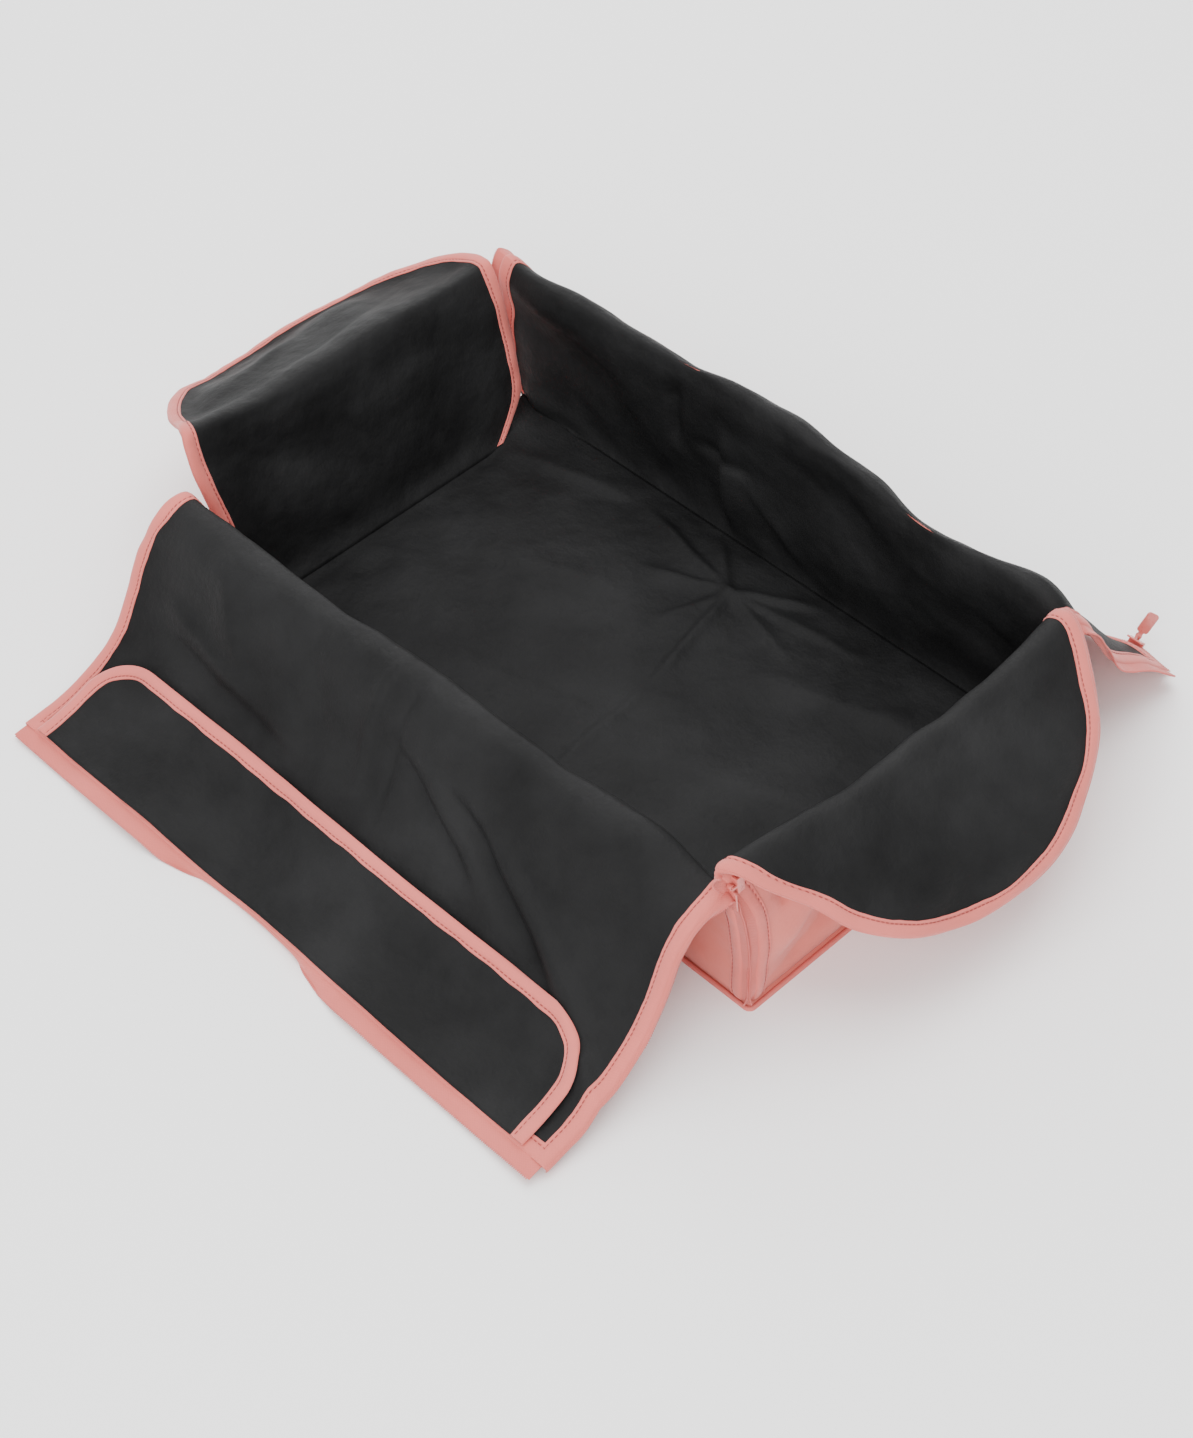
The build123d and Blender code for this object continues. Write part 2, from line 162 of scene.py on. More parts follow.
class Panel:
    def __init__(self, shape, side, creases=(), ripples=(), hold=held_at_seam, rest=0.7):
        self.shape, self.side, self.creases, self.ripples = shape, side, creases, ripples
        self.hold, self.rest = hold, rest  # millimetres above the table, where it begins to flatten

    def creased(self, a, b):
        lift = sum(ripple(a, b, *wave) for wave in self.ripples)
        lift = (lift + sum(crease(a, b, *mark) for mark in self.creases)) * self.hold(a, b)
        return self.shape(a, b) + self.side * facing(self.shape, a, b) * np.asarray(lift)[..., None]

    def at(self, a, b, rise=0.0):
        a, b, rise = np.broadcast_arrays(np.asarray(a, float), np.asarray(b, float), rise)
        spot = self.creased(a, b) + self.side * facing(self.creased, a, b) * rise[..., None]
        under = np.minimum(spot[..., 2] - self.rest, 0)
        spot[..., 2] -= PRESSED * under
        return spot


def point(x, y, z):
    return np.stack(np.broadcast_arrays(x, y, z), axis=-1).astype(float)


# %% [markdown]
# ## Sizes that all panels share
#
# They are the sizes that the pieces are cut and sewn to: the base, the rim, and the trims from the
# cloth's cut edge outwards. Where a zip tape lies flat it adds its width to the edge, and where it
# is tucked under, the binding is the edge.

# %% Shared sizes
BASE_LENGTH, BASE_WIDTH = 504.0, 300.0
LIP = 1.2  # binding past the cloth's cut edge
TAPE, RIDGE_TAPE, TEETH = 7.2, 10.5, 2.0
TEETH_SET_BACK = 0.6  # how far the teeth sit back on their tape
FLAT_EDGE = LIP + TAPE + TEETH - TEETH_SET_BACK  # cloth's cut edge to the zip's, with the tape flat
END_WIDTH, ARCH = 290.0, 130.0
RIGHT_RIM, LEFT_RIM = 126.0, 137.0  # the seam to the widest line, where each arch begins
HALF, END_HALF = BASE_LENGTH / 2, END_WIDTH / 2
print("base", BASE_LENGTH, "x", BASE_WIDTH, "mm, flat zip edge", round(FLAT_EDGE, 1))

# %% [markdown]
# ## Front panel
#
# It climbs the front wall, rolls over the rim and runs down to the table. The left end is unzipped,
# so there the wall leans out a little and the flap bellies.

# %% Front panel's shape
front_section, FRONT_LENGTH = section([
    (148.6, 0.9), (150.2, 5), (151, 40), (151.5, 95), (152.5, 112), (157.5, 122.5), (167, 122.5),
    (184, 112.5), (199, 94), (223, 61), (247, 39), (279, 20), (313, 9), (331, 5),
])
front_left = graph((0, -252), (60, -261), (112, -275), (132, -279), (178, -286), (219, -282),
                   (251, -277), (288, -278), (346, -282))
front_right = graph((0, 252), (40, 250.5), (82, 248), (112, 244), (132, 247), (152, 247), (178, 247),
                    (219, 251), (251, 254), (288, 257), (346, 258))


def front_shape(a, b):
    share = a / BASE_LENGTH + 0.5
    out, up = front_section(b)
    loose = (1 - share) * bell(b, 132, 62)
    tugged = 13 * smooth_step(a, 180, 246) * bell(b, 134, 34)
    hem = smooth_step(b, 290, 346) * (5 - 3 * bell(a, -12, 62))
    x = front_left(b) + (front_right(b) - front_left(b)) * share
    return point(x, -out - 9 * loose - hem, up - 4 * loose - tugged)


front = Panel(
    front_shape, -1,
    creases=[
        ((-208, 222), (-68, 240), -5.5, 6),
        ((-215, 200), (-120, 226), 4.5, 8),
        ((6, 182), (96, 232), -6.5, 5),
        ((28, 176), (120, 236), 4.5, 7),
        ((60, 186), (186, 256), -10.0, 6),
        ((92, 190), (206, 254), 7.0, 9),
        ((214, 268), (250, 292), 5.0, 7),
        ((-22, 128), (-14, 232), 3.2, 2.5),
        ((3, 128), (10, 242), -3.2, 2.5),
        ((-236, 140), (-262, 190), -2.5, 7),
        ((-186, 138), (-128, 214), 4.0, 10),
        ((-96, 136), (-52, 216), -3.0, 10),
        ((150, 138), (120, 190), 2.5, 14),
        ((-150, 300), (-60, 330), 2.0, 16),
    ],
    ripples=[(190, 2.4, 3), (70, 0.9, 4), (26, 0.16, 5)],
)
print("front panel length", round(FRONT_LENGTH, 1))

# %% [markdown]
# ## Rear panel
#
# It stands a little higher than the front, folds over with a waving rim and falls steeply behind the
# bag. At its right end the flap flicks out to a point on the table, where the ridge slider is parked.

# %% Rear panel's shape
rear_section, REAR_LENGTH = section([
    (148.6, 0.9), (150.2, 5), (151, 45), (151, 95), (152.5, 121), (158, 130.5), (165, 126.5),
    (177, 108), (200, 73), (225, 43), (247, 19), (264, 4.5),
])
rear_left = graph((0, -264), (6, -293), (20, -303), (60, -308), (100, -309), (132, -308), (150, -305),
                  (220, -285), (310, -268))
rear_right = graph((0, 252), (100, 251), (130, 261), (160, 266), (210, 268), (270, 270), (310, 272))
rear_rim = graph((-260, 2), (-225, -5), (-140, -2), (-10, 7), (84, -2), (132, -9), (190, -3), (222, 0),
                 (262, -2))


def rear_shape(a, b):
    share = a / BASE_LENGTH + 0.5
    out, up = rear_section(b)
    high = np.where(b < 135, smooth_step(b, 30, 135), 1 - smooth_step(b, 135, 250))
    edge = smooth_step(a, 206, 254)
    fall = edge * (14 * bell(b, 142, 46) + 7 * bell(b, 215, 40))
    flick = 9 * smooth_step(a, 150, 250) * bell(b, 215, 48) + 3 * edge
    flick = flick + 15 * smooth_step(b, 215, 300) * smooth_step(222 - a, 0, 60)
    flick = flick + 8 * bell(a, -216, 15) * bell(b, 13, 12)  # laid over the slider at the foot
    x = rear_left(b) + (rear_right(b) - rear_left(b)) * share
    return point(x, out - flick, np.maximum(up + rear_rim(a) * high - fall, 2.0))


rear = Panel(
    rear_shape, 1,
    creases=[
        ((-78, 112), (-76, 58), -7.0, 4),
        ((-30, 96), (-30, 8), 7.0, 5),
        ((-58, 72), (-6, 64), -5.0, 5),
        ((-14, 60), (40, 16), 4.0, 6),
        ((-232, 122), (-110, 92), 6.0, 16),
        ((-250, 92), (-120, 62), -6.0, 16),
        ((20, 110), (120, 60), -5.0, 14),
        ((60, 120), (170, 86), 4.0, 15),
        ((160, 70), (236, 24), -5.0, 12),
        ((150, 104), (226, 70), 3.0, 12),
    ],
    ripples=[(150, 2.6, 11), (62, 1.2, 12), (24, 0.2, 13)],
)
print("rear panel length", round(REAR_LENGTH, 1))

# %% [markdown]
# ## End panels
#
# Both ends are the same cut: a wall with an arched flap above it. The right end is zipped up to the
# rim and its flap hangs outwards, hollow near the front where the zip tugs at it. The left end is
# unzipped to the base, so its wall leans out, its foot curls in and its front corner is pulled up.

# %% Right end panel's shape
right_section, RIGHT_LENGTH = section([
    (248.6, 0.9), (250.2, 5), (250.5, 40), (247, 82), (242, 112), (243.5, 124), (252, 127.5),
    (266, 122), (290, 107), (315, 86), (333, 65), (346, 44),
])
right_front = graph((0, 1.045), (100, 1.045), (126, 1.15), (142, 1.08), (166, 0.96), (200, 0.945),
                    (262, 0.95))
right_rear = graph((0, 1.045), (112, 1.045), (130, 1.05), (170, 1.02), (262, 1.0))
right_rear_rise = graph((0, 0), (100, 0), (128, 8), (170, 4), (262, 0))
right_front_sink = graph((0, 0), (104, 0), (126, -9), (138, -4), (164, 6), (200, 8), (262, 0))


def right_shape(a, b):
    out, up = right_section(b)
    near = smooth_step(-a, 30, 138)
    y = a * np.where(a < 0, right_front(b), right_rear(b))
    up = up - near * right_front_sink(b) + smooth_step(a, 20, 130) * right_rear_rise(b)
    return point(out - 8 * near * bell(b, 128, 20), y, up)


right_end = Panel(
    right_shape, -1,
    creases=[
        ((-120, 34), (-76, 78), -7.0, 10),
        ((-112, 12), (-60, 34), 5.0, 7),
        ((-118, 92), (-112, 74), 4.0, 4),
        ((-60, 80), (40, 60), -4.0, 16),
        ((-60, 140), (-40, 214), 3.6, 13),
        ((20, 138), (30, 224), -4.0, 13),
        ((90, 140), (74, 200), 4.0, 11),
        ((-110, 146), (-90, 190), -2.0, 12),
    ],
    ripples=[(120, 2.0, 21), (52, 0.8, 22)],
)

# %% [markdown]
# The left end's foot is free of the long walls, so its section starts past the base's end and leans
# out. Its arch is stiffened by the binding, which curls the edge up a little all the way round.

# %% Left end panel's shape
left_section, LEFT_LENGTH = section([
    (-252.5, 2.4), (-257, 9), (-265, 32), (-279, 70), (-292, 106), (-298.5, 121), (-303.5, 127.5),
    (-311, 127.5), (-332, 119), (-360, 104), (-388, 85.5), (-413, 67),
])
left_rear = graph((0, 0.68), (9, 0.78), (26, 0.90), (60, 0.965), (118, 1.0), (160, 1.02), (280, 1.02))
left_front = graph((0, 0.95), (74, 1.0), (130, 0.995), (160, 0.93), (200, 0.925), (280, 0.94))
left_corner = graph((0, 0), (60, 2), (120, 9), (137, 11), (162, 4), (208, 0), (280, 0))


def left_shape(a, b):
    out, up = left_section(b)
    y = a * np.where(a < 0, left_front(b), left_rear(b))
    edge = np.hypot(a / END_HALF, np.maximum(b - LEFT_RIM, 0) / ARCH)
    curl = 5 * smooth_step(edge, 0.84, 1.0) * smooth_step(b, LEFT_RIM, LEFT_RIM + 34)
    return point(out, y, up + smooth_step(-a, 70, 150) * left_corner(b) + curl)


left_end = Panel(
    left_shape, 1,
    creases=[
        ((-120, 118), (-20, 60), -5, 15),
        ((-120, 176), (20, 214), 3.0, 9),
        ((-40, 158), (96, 186), -3.0, 10),
        ((-60, 112), (70, 70), 3.0, 18),
        ((20, 110), (110, 96), -2.5, 14),
        ((-100, 60), (-30, 20), 3.0, 14),
        ((40, 50), (100, 20), -3.0, 14),
        ((-138, 142), (-40, 138), 2.0, 6),
    ],
    ripples=[(130, 2.2, 31), (58, 0.75, 32), (24, 0.16, 33)],
)
print("end panel lengths", round(RIGHT_LENGTH, 1), round(LEFT_LENGTH, 1))

# %% [markdown]
# ## Floor and storm flap
#
# The floor lies on the table with a star of creases where the bag was folded in four, and puckers
# out at the rear left corner, where both zips are open. The storm flap is sewn near the front flap's
# outer edge and lies back on it. It could be modelled apart and laid down, but then the two would
# cross at each crease. Its place is the front panel's place with a small rise instead, and a little
# more rise where its free edge lifts.


# %% Floor and storm flap shapes
LINING_HEIGHT, EDGE_DROP, EDGE_WIDTH = 3.6, 0.8, 14.0  # the lining is loose, and held down round its edge


def floor_shape(a, b):
    edge = np.minimum(HALF - 3 - np.abs(a), BASE_WIDTH / 2 - 1 - np.abs(b))
    pucker = smooth_step(-a, 222, 254) * smooth_step(b, 84, 138)
    height = LINING_HEIGHT - EDGE_DROP * (1 - smooth_step(edge, 0, EDGE_WIDTH))
    return point(a - 24 * pucker, b - 2 * pucker, height + 9 * pucker)


def held_all_round(a, b):
    ends = smooth_step(HALF - np.abs(a), 0, EDGE_WIDTH)
    return smooth_step(BASE_WIDTH / 2 - np.abs(b), 0, EDGE_WIDTH) * ends


star = (-14, 104)
floor = Panel(
    floor_shape, 1,
    creases=[(star, tip, height, 3.2) for tip, height in (
        ((-118, 128), 4.5), ((-78, 84), 3.6), ((-34, 52), 3.0), ((4, 14), 4.2), ((62, 84), 3.4),
        ((44, 136), 4.5), ((-58, 140), 4.0), ((96, 120), 3.0))] + [
        ((4, 20), (18, -110), 3.0, 4), ((-240, 100), (-130, 130), 4.0, 6),
        ((-190, 10), (-60, 60), 3.2, 9), ((60, 60), (190, 100), 3.2, 8),
        ((-120, -60), (40, -20), -3.0, 10), ((80, -40), (210, 10), 2.6, 10)],
    ripples=[(120, 0.9, 41), (44, 0.5, 42), (20, 0.12, 43)],
    hold=held_all_round, rest=2.2,
)

STORM_LEFT, STORM_RIGHT = -239.0, 228.0
STORM_SEAM, STORM_TOP, STORM_CORNER = 332.0, 252.5, 42.0


STORM_RISE, STORM_LIFT, STORM_WAVE = 3.0, 3.0, 2.5  # off the front flap, more at its free edge, and its wave


def storm_shape(a, b):
    free = smooth_step(STORM_SEAM - b, 0, STORM_SEAM - STORM_TOP)
    lift = STORM_RISE + STORM_LIFT * free + STORM_WAVE * free * np.sin(a / 47.0 + 0.6)
    return front.at(a, b) + facing(front_shape, a, b) * -lift[..., None]


storm = Panel(
    storm_shape, -1,
    creases=[((-180, 300), (-60, 262), 2.0, 12), ((60, 300), (170, 268), -2.0, 12)],
    ripples=[(110, 0.8, 51)],
)
print("storm flap", STORM_RIGHT - STORM_LEFT, "x", STORM_SEAM - STORM_TOP, "mm,", len(floor.creases),
      "creases in the floor")

# %% [markdown]
# ## Finishes
#
# Two node groups serve every cloth here. One weaves: two crossed sets of fine waves on the flat
# pattern's own UV map, so the thread turns with the cloth. The other adds slow patches of colour and
# faint uneven roughness. The patches are the cloth's own uneven tone. On the lining, whose light
# colour is far above its dark one, the light patches are also painted highlight, a soft sheen laid at
# random. Each material then sets its own colours and sheen.


# %% Node groups
def node_group(name, inputs, outputs):
    made = bpy.data.node_groups.new(name, "ShaderNodeTree")
    for socket, value in inputs:
        made.interface.new_socket(socket, in_out="INPUT", socket_type="NodeSocketFloat").default_value = value
    for socket in outputs:
        made.interface.new_socket(socket, in_out="OUTPUT", socket_type="NodeSocketFloat")
    return made, made.nodes.new("NodeGroupInput"), made.nodes.new("NodeGroupOutput")


def maths(tree, operation, first, second=None):
    node = tree.nodes.new("ShaderNodeMath")
    node.operation = operation
    for socket, value in zip(node.inputs, (first, second)):
        if value is None:
            continue
        if isinstance(value, (int, float)):
            socket.default_value = value
        else:
            tree.links.new(value, socket)
    return node.outputs[0]


def weave_group():
    tree, given, result = node_group("thread_weave", [("Threads", 1800.0), ("Slub", 0.3)], ["Height", "Gap"])
    uv = tree.nodes.new("ShaderNodeUVMap")
    uv.uv_map = "cloth"
    parts = tree.nodes.new("ShaderNodeSeparateXYZ")
    tree.links.new(uv.outputs[0], parts.inputs[0])
    noise = tree.nodes.new("ShaderNodeTexNoise")
    noise.inputs["Scale"].default_value = 160.0
    tree.links.new(uv.outputs[0], noise.inputs["Vector"])
    waver = maths(tree, "MULTIPLY", noise.outputs["Fac"], given.outputs["Slub"])
    sides = []
    for axis in ("X", "Y"):
        turned = maths(tree, "MULTIPLY", parts.outputs[axis], given.outputs["Threads"])
        sides.append(maths(tree, "SINE", maths(tree, "ADD", turned, maths(tree, "MULTIPLY", waver, 12.0))))
    crossed = maths(tree, "MULTIPLY", sides[0], sides[1])
    height = maths(tree, "MULTIPLY", maths(tree, "ADD", crossed, 1.0), 0.5)
    tree.links.new(height, result.inputs["Height"])
    tree.links.new(maths(tree, "POWER", maths(tree, "SUBTRACT", 1.0, height), 3.0), result.inputs["Gap"])
    return tree


def tone_wear_and_sheen_group():
    tree, given, result = node_group("tone_wear_and_painted_sheen", [("Patch Size", 12.0), ("Crumple Size", 48.0)],
                                     ["Patches", "Crumple"])
    place = tree.nodes.new("ShaderNodeTexCoord")
    # Patches gives the colour: uneven tone, and on the lining painted highlight as well
    for socket, detail, target in (("Patch Size", 4.0, "Patches"), ("Crumple Size", 6.0, "Crumple")):
        noise = tree.nodes.new("ShaderNodeTexNoise")
        noise.inputs["Detail"].default_value = detail
        noise.inputs["Roughness"].default_value = 0.58
        tree.links.new(place.outputs["Object"], noise.inputs["Vector"])
        tree.links.new(given.outputs[socket], noise.inputs["Scale"])
        tree.links.new(noise.outputs["Fac"], result.inputs[target])
    return tree


weave, tone_wear_and_sheen = weave_group(), tone_wear_and_sheen_group()
print("node groups:", weave.name, "and", tone_wear_and_sheen.name)


# %% [markdown]
# A cloth material mixes its light and dark colours by the patches, darkens the gaps between threads,
# and takes its bump from the thread and the crumple together. Sheen is the soft light on the nap, so
# it is set on the shader itself.


# %% Cloth material
GAP_SHADE = 0.35  # how much darker the gaps between threads are
THREAD_DEPTH, CRUMPLE_DEPTH = 0.0003, 0.003


def cloth_finish(name, dark, light, rough, threads, thread_bump, crumple_bump, sheen, specular):
    made = bpy.data.materials.new(name)
    made.use_nodes = True
    tree = made.node_tree
    shader = tree.nodes["Principled BSDF"]
    shader.inputs["Specular IOR Level"].default_value = specular
    shader.inputs["Sheen Weight"].default_value = sheen
    shader.inputs["Sheen Roughness"].default_value = 0.45
    threadwork, tone_wear_and_sheen_noise = tree.nodes.new("ShaderNodeGroup"), tree.nodes.new("ShaderNodeGroup")
    threadwork.node_tree, tone_wear_and_sheen_noise.node_tree = weave, tone_wear_and_sheen
    threadwork.inputs["Threads"].default_value = threads
    # The patches mix dark and light: the cloth's own uneven tone, and where the two are far apart, painted
    # highlight
    colours = tree.nodes.new("ShaderNodeValToRGB")
    colours.color_ramp.elements[0].position, colours.color_ramp.elements[1].position = 0.3, 0.7
    colours.color_ramp.elements[0].color = (*dark, 1)
    colours.color_ramp.elements[1].color = (*light, 1)
    tree.links.new(tone_wear_and_sheen_noise.outputs["Patches"], colours.inputs["Fac"])
    shade = tree.nodes.new("ShaderNodeMix")
    shade.data_type, shade.blend_type = "RGBA", "MULTIPLY"
    shade.inputs["B"].default_value = (0.55, 0.5, 0.5, 1)
    tree.links.new(maths(tree, "MULTIPLY", threadwork.outputs["Gap"], GAP_SHADE), shade.inputs["Factor"])
    tree.links.new(colours.outputs["Color"], shade.inputs["A"])
    tree.links.new(shade.outputs["Result"], shader.inputs["Base Color"])
    spread = maths(tree, "MULTIPLY", maths(tree, "SUBTRACT", tone_wear_and_sheen_noise.outputs["Crumple"], 0.5), 0.25)
    tree.links.new(maths(tree, "ADD", spread, rough), shader.inputs["Roughness"])
    fine, broad = tree.nodes.new("ShaderNodeBump"), tree.nodes.new("ShaderNodeBump")
    for bump, strength, depth in ((fine, thread_bump, THREAD_DEPTH), (broad, crumple_bump, CRUMPLE_DEPTH)):
        bump.inputs["Strength"].default_value = strength
        bump.inputs["Distance"].default_value = depth
    tree.links.new(threadwork.outputs["Height"], fine.inputs["Height"])
    tree.links.new(tone_wear_and_sheen_noise.outputs["Crumple"], broad.inputs["Height"])
    tree.links.new(broad.outputs["Normal"], fine.inputs["Normal"])
    tree.links.new(fine.outputs["Normal"], shader.inputs["Normal"])
    return made


# The lining's light colour is well over twice its dark one, so its light patches are painted highlight, a
# soft sheen at random places, on top of its own uneven tone
lining_cloth = cloth_finish(
    "charcoal_lining", (0.0062, 0.0062, 0.0064), (0.0150, 0.0151, 0.0155), rough=0.56, threads=6200,
    thread_bump=0.35, crumple_bump=0.7, sheen=0.0, specular=0.10)
shell_cloth = cloth_finish(
    "rose_shell", (0.62, 0.144, 0.113), (0.68, 0.169, 0.133), rough=0.5, threads=6200,
    thread_bump=0.3, crumple_bump=0.3, sheen=0.2, specular=0.45)
binding_cloth = cloth_finish(
    "rose_binding", (0.58, 0.129, 0.107), (0.66, 0.157, 0.130), rough=0.7, threads=5200,
    thread_bump=0.5, crumple_bump=0.15, sheen=0.25, specular=0.3)
tape_cloth = cloth_finish(
    "rose_zip_tape", (0.56, 0.122, 0.101), (0.63, 0.146, 0.122), rough=0.7, threads=4200,
    thread_bump=0.6, crumple_bump=0.1, sheen=0.2, specular=0.3)
thread_cloth = cloth_finish(
    "rose_thread", (0.26, 0.034, 0.030), (0.31, 0.045, 0.039), rough=0.6, threads=9000,
    thread_bump=0.4, crumple_bump=0.0, sheen=0.2, specular=0.3)
cloths = (lining_cloth, shell_cloth, binding_cloth, tape_cloth, thread_cloth)
print("cloths:", ", ".join(cloth.name for cloth in cloths))

# %% [markdown]
# The zip's teeth are moulded nylon and the sliders are enamelled metal. Both are smooth, so their
# life comes from gloss: a coat on the enamel, and a slightly uneven roughness where hands rub it.


# %% Smooth finishes
HAND_PATCHES, HAND_RUBS = 160.0, 420.0  # finer than on cloth, because these pieces are small


def smooth_finish(name, dark, light, rough, coat, bump):
    made = bpy.data.materials.new(name)
    made.use_nodes = True
    tree = made.node_tree
    shader = tree.nodes["Principled BSDF"]
    shader.inputs["Coat Weight"].default_value = coat
    shader.inputs["Coat Roughness"].default_value = 0.12
    tone_wear_and_sheen_noise = tree.nodes.new("ShaderNodeGroup")
    tone_wear_and_sheen_noise.node_tree = tone_wear_and_sheen
    tone_wear_and_sheen_noise.inputs["Patch Size"].default_value = HAND_PATCHES
    tone_wear_and_sheen_noise.inputs["Crumple Size"].default_value = HAND_RUBS
    colours = tree.nodes.new("ShaderNodeValToRGB")
    colours.color_ramp.elements[0].color = (*dark, 1)
    colours.color_ramp.elements[1].color = (*light, 1)
    tree.links.new(tone_wear_and_sheen_noise.outputs["Patches"], colours.inputs["Fac"])
    tree.links.new(colours.outputs["Color"], shader.inputs["Base Color"])
    spread = maths(tree, "MULTIPLY", maths(tree, "SUBTRACT", tone_wear_and_sheen_noise.outputs["Crumple"], 0.5), 0.3)
    tree.links.new(maths(tree, "ADD", spread, rough), shader.inputs["Roughness"])
    bumped = tree.nodes.new("ShaderNodeBump")
    bumped.inputs["Strength"].default_value = bump
    bumped.inputs["Distance"].default_value = 0.0002
    tree.links.new(tone_wear_and_sheen_noise.outputs["Crumple"], bumped.inputs["Height"])
    tree.links.new(bumped.outputs["Normal"], shader.inputs["Normal"])
    return made


nylon = smooth_finish("rose_nylon", (0.50, 0.112, 0.097), (0.60, 0.146, 0.126), rough=0.38, coat=0.0,
                      bump=0.1)
enamel = smooth_finish("rose_enamel", (0.55, 0.129, 0.109), (0.65, 0.163, 0.139), rough=0.3, coat=0.6,
                       bump=0.15)
cord_cloth = smooth_finish("rose_piping", (0.54, 0.129, 0.109), (0.62, 0.155, 0.134), rough=0.65, coat=0.0,
                           bump=0.4)
print("smooth finishes:", nylon.name, enamel.name, cord_cloth.name)

# %% [markdown]
# ## Cutting a sheet of cloth
#
# A sheet starts as a grid primitive, which is cloth on the cutting table. The cut turns the grid's
# own coordinates into the flat pattern, the panel puts each point in space, and Solidify gives the
# cloth its thickness on both sides of that surface.


# %% Cut a sheet
def own_uv(piece, flat_a, flat_b):
    mesh = piece.data
    corners = np.zeros(len(mesh.loops), int)
    mesh.loops.foreach_get("vertex_index", corners)
    for layer in list(mesh.uv_layers):
        mesh.uv_layers.remove(layer)
    uv = np.stack([flat_a.ravel()[corners], flat_b.ravel()[corners]], axis=-1) * MM
    mesh.uv_layers.new(name="cloth").data.foreach_set("uv", uv.ravel())


def select_only(piece):
    bpy.ops.object.select_all(action="DESELECT")
    piece.select_set(True)
    bpy.context.view_layer.objects.active = piece


def cut_sheet(name, cells, cut, panel, rise, thickness, finish):
    bpy.ops.object.select_all(action="DESELECT")
    bpy.ops.mesh.primitive_grid_add(x_subdivisions=cells[0], y_subdivisions=cells[1], size=1)
    piece = bpy.context.object
    piece.name = name
    mesh = piece.data
    table = np.zeros(3 * len(mesh.vertices))
    mesh.vertices.foreach_get("co", table)
    across, up = table.reshape(-1, 3)[:, 0] + 0.5, table.reshape(-1, 3)[:, 1] + 0.5
    a, b = cut(across, up)
    mesh.vertices.foreach_set("co", (panel.at(a, b, rise) * MM).ravel())
    own_uv(piece, a, b)
    mesh.update()
    bpy.ops.object.modifier_add(type="SOLIDIFY")
    piece.modifiers[-1].thickness = thickness * MM
    piece.modifiers[-1].offset = 0
    bpy.ops.object.modifier_apply(modifier=piece.modifiers[-1].name)
    bpy.ops.object.shade_smooth()
    mesh.materials.append(finish)
    return piece


def straight_cut(low_a, high_a, low_b, high_b):
    return lambda s, t: (low_a + (high_a - low_a) * s, low_b + (high_b - low_b) * t)


WALL_SHARE = 0.42  # share of an end panel's rows of cells that its wall takes
ARCH_TURN = math.radians(89.4)  # just short of a right angle, so that the top row keeps a width


def arched_cut(inset, rim):
    """The end panels' cut: straight sides up to the rim, and then an arch that closes at its top."""
    def cut(s, t):
        turn = np.clip((t - WALL_SHARE) / (1 - WALL_SHARE), 0, 1) * ARCH_TURN
        wall = rim * np.clip(t / WALL_SHARE, 0, 1)
        width = (END_HALF - inset) * np.cos(turn)
        return (2 * s - 1) * width, wall + (ARCH - inset) * np.sin(turn)

    return cut


def storm_cut(inset):
    """Straight at its seam, with both corners of its free edge rounded."""
    corner = STORM_CORNER - inset

    def cut(s, t):
        b = STORM_SEAM + (STORM_TOP + inset - STORM_SEAM) * t
        into = np.clip(STORM_TOP + inset + corner - b, 0, corner)
        pulled = corner - np.sqrt(np.maximum(corner**2 - into**2, 0))
        low, high = STORM_LEFT + inset + pulled, STORM_RIGHT - inset - pulled
        return low + (high - low) * s, b

    return cut


# %% [markdown]
# ## Sewing a trim along an edge
#
# An edge is a line on the flat pattern with a direction that points off the cloth. A trim is a small
# outline carried along it: u is the way off the cloth and h the rise from it. The binding's outline
# wraps the cut edge and has a groove where the stitches pull it down.


# %% Edges
class Edge:
    """A line on the flat pattern, with even steps along it and the way off the cloth at each."""

    def __init__(self, points, off=1, pitch=3.0):
        line = np.array(points, float)
        run = np.concatenate([[0], np.cumsum(np.linalg.norm(np.diff(line, axis=0), axis=1))])
        self.line, self.run, self.length, self.off = line, run, run[-1], off
        self.pitch = pitch

    def place(self, s):
        return np.stack([np.interp(s, self.run, self.line[:, k]) for k in (0, 1)], axis=-1)

    def read(self, s):
        step = 0.8
        way = self.place(np.clip(s + step, 0, self.length)) - self.place(np.clip(s - step, 0, self.length))
        way = way / np.linalg.norm(way, axis=-1, keepdims=True)
        return self.place(s), np.stack([way[:, 1], -way[:, 0]], axis=-1) * self.off

    def steps(self, pitch=None, ends=0.0):
        count = max(2, int(round((self.length - 2 * ends) / (pitch or self.pitch))) + 1)
        return np.linspace(ends, self.length - ends, count)


